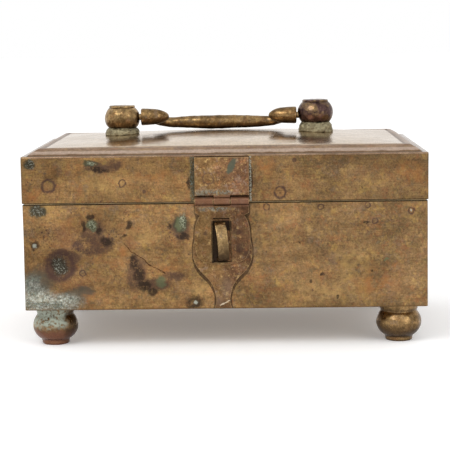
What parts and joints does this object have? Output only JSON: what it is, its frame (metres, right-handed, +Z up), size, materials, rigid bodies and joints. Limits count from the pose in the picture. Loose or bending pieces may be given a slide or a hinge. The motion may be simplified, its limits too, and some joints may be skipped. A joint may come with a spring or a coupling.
{
  "type": "footed spice box",
  "caption": "Rectangular footed spice box with a hinged domed lid, hasp and staple for a padlock, folding bail handle between turned posts, and lift-out cups inside.",
  "frame": {"origin": "on the ground, centre of the footprint of the whole object", "axes": "+X to the right seen from the front, +Y to the rear, +Z up"},
  "size_m": [0.3, 0.2178, 0.1781],
  "materials": {
    "sheet_brass": "aged rolled sheet with a mottled brown and olive patina, dark spots and green stains",
    "polished_brass": "worn sheet, rubbed bright and reflective, with a pinkish tarnish and a dark line in the crease",
    "cast_brass": "cast and turned, smooth with fine tool rings, gold brown patina with dark recesses",
    "solder": "rough brazed ring, dull olive grey",
    "hasp_brass": "hand cut plate with worn bright edges and a reddish brown patina",
    "fastener_brass": "hammered wire, dull and dark",
    "cup_brass": "spun sheet with faint rings, lightly tarnished"
  },
  "bodies": {
    "body": {"body_walls": "sheet_brass", "bottom_plate": "sheet_brass", "rim_strip": "sheet_brass", "foot_front_left": "cast_brass", "foot_front_right": "cast_brass", "foot_rear_left": "cast_brass", "foot_rear_right": "cast_brass", "foot_rivets": "fastener_brass", "hasp_escutcheon": "hasp_brass", "hasp_staple": "hasp_brass", "hinge_body_leaf_left": "hasp_brass", "hinge_body_leaf_right": "hasp_brass", "hinge_pins": "fastener_brass", "body_hinge_rivets": "fastener_brass"},
    "lid": {"lid_band": "sheet_brass", "lid_top": "polished_brass", "hinge_lid_leaf_left": "hasp_brass", "hinge_lid_leaf_right": "hasp_brass", "lid_hinge_rivets": "fastener_brass", "post_collar_left": "solder", "post_collar_right": "solder", "handle_post_left": "cast_brass", "handle_post_right": "cast_brass", "post_cap_left": "cast_brass", "post_cap_right": "cast_brass", "post_studs": "fastener_brass", "post_washers": "fastener_brass", "hasp_leaf": "hasp_brass", "hasp_pin": "fastener_brass"},
    "handle": {"handle_bail": "cast_brass", "handle_bud_left": "cast_brass", "handle_bud_right": "cast_brass", "handle_pins": "fastener_brass"},
    "hasp": {"hasp_strap": "hasp_brass"},
    "spice_cup_front_left": {"cup_front_left": "cup_brass"},
    "spice_cup_front_middle": {"cup_front_middle": "cup_brass"},
    "spice_cup_front_right": {"cup_front_right": "cup_brass"},
    "spice_cup_rear_left": {"cup_rear_left": "cup_brass"},
    "spice_cup_rear_middle": {"cup_rear_middle": "cup_brass"},
    "spice_cup_rear_right": {"cup_rear_right": "cup_brass"}
  },
  "joints": [
    {"name": "lid_hinge", "type": "hinge", "parent": "body", "child": "lid", "pos_m": [0, 0.10594, 0.1079], "axis": [-1, 0, 0], "range_deg": [0, 105]},
    {"name": "handle_swing", "type": "hinge", "parent": "lid", "child": "handle", "pos_m": [-0.0055, 0.00254, 0.166], "axis": [1, 0, 0], "range_deg": [0, 211.8]},
    {"name": "hasp_swing", "type": "hinge", "parent": "lid", "child": "hasp", "pos_m": [-0.002, -0.10086, 0.1092], "axis": [-1, 0, 0], "range_deg": [0, 175]},
    {"name": "cup_front_left_lift", "type": "slide", "parent": "body", "child": "spice_cup_front_left", "axis": [0, 0, 1], "range_m": [0, 0.052]},
    {"name": "cup_front_middle_lift", "type": "slide", "parent": "body", "child": "spice_cup_front_middle", "axis": [0, 0, 1], "range_m": [0, 0.052]},
    {"name": "cup_front_right_lift", "type": "slide", "parent": "body", "child": "spice_cup_front_right", "axis": [0, 0, 1], "range_m": [0, 0.052]},
    {"name": "cup_rear_left_lift", "type": "slide", "parent": "body", "child": "spice_cup_rear_left", "axis": [0, 0, 1], "range_m": [0, 0.052]},
    {"name": "cup_rear_middle_lift", "type": "slide", "parent": "body", "child": "spice_cup_rear_middle", "axis": [0, 0, 1], "range_m": [0, 0.052]},
    {"name": "cup_rear_right_lift", "type": "slide", "parent": "body", "child": "spice_cup_rear_right", "axis": [0, 0, 1], "range_m": [0, 0.052]}
  ]
}
